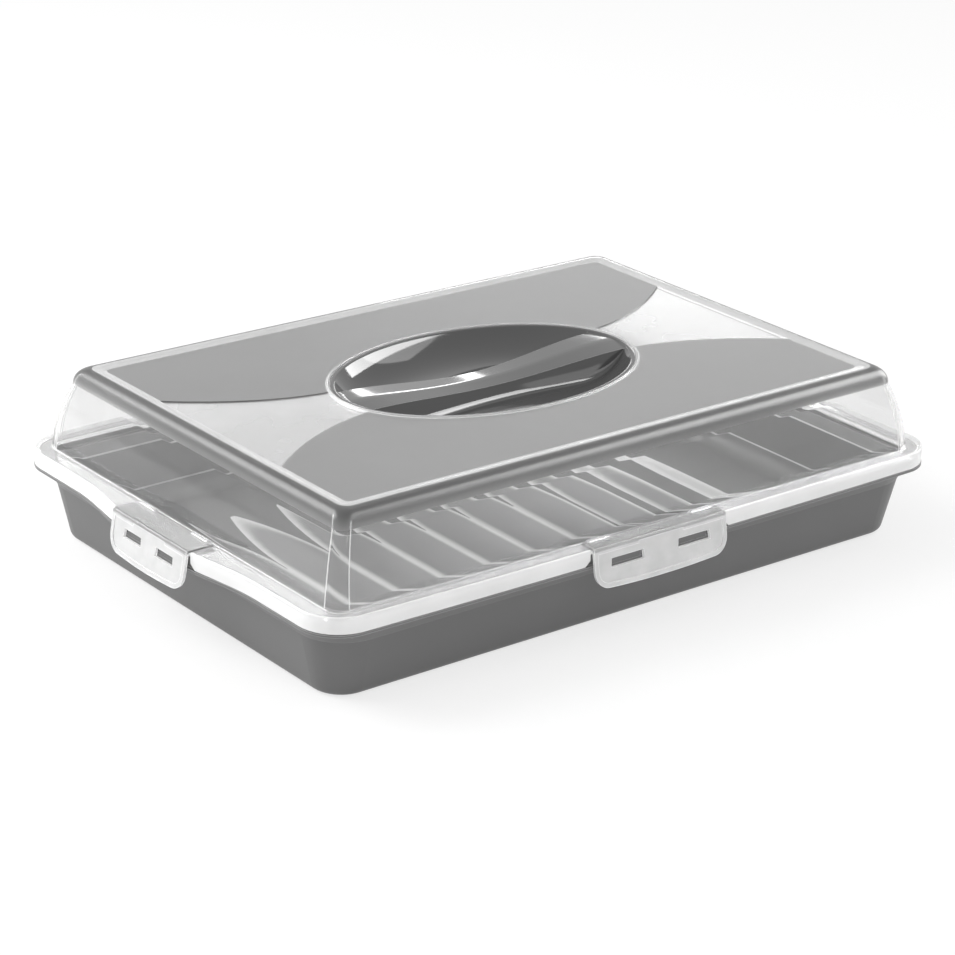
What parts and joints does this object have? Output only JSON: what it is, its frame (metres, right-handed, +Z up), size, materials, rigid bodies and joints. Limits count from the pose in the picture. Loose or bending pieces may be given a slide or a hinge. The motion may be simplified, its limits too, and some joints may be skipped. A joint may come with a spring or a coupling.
{
  "type": "cake container",
  "caption": "rectangular cake container with a dark grey tray, a clear domed lid, an oval carrying handle set in the top and a lock clip on each side",
  "frame": {"origin": "the centre of the tray's underside, on the surface it stands on", "axes": "X runs along the long side, Y across it from front to back, Z up"},
  "size_m": [0.4674, 0.3254, 0.1029],
  "materials": {
    "tray_plastic": "fine moulded satin",
    "lid_clear": "polished clear plastic",
    "handle_plastic": "polished",
    "clip_plastic": "translucent, smooth"
  },
  "bodies": {
    "tray": {"tray": "tray_plastic"},
    "lid": {"lid": "lid_clear", "handle_insert": "handle_plastic"},
    "clip_front": {"clip_front": "clip_plastic"},
    "clip_back": {"clip_back": "clip_plastic"},
    "clip_left": {"clip_left": "clip_plastic"},
    "clip_right": {"clip_right": "clip_plastic"}
  },
  "joints": [
    {"name": "lid_lift", "type": "slide", "parent": "tray", "child": "lid", "axis": [0, 0, 1], "range_m": [0, 0.12]},
    {"name": "clip_front_hinge", "type": "hinge", "parent": "lid", "child": "clip_front", "pos_m": [0, -0.1493, 0.0551], "axis": [-1, 0, 0], "range_deg": [0, 100]},
    {"name": "clip_back_hinge", "type": "hinge", "parent": "lid", "child": "clip_back", "pos_m": [0, 0.1493, 0.0551], "axis": [1, 0, 0], "range_deg": [0, 100]},
    {"name": "clip_left_hinge", "type": "hinge", "parent": "lid", "child": "clip_left", "pos_m": [-0.2135, 0, 0.0551], "axis": [0, 1, 0], "range_deg": [0, 100]},
    {"name": "clip_right_hinge", "type": "hinge", "parent": "lid", "child": "clip_right", "pos_m": [0.2135, 0, 0.0551], "axis": [0, -1, 0], "range_deg": [0, 100]}
  ]
}
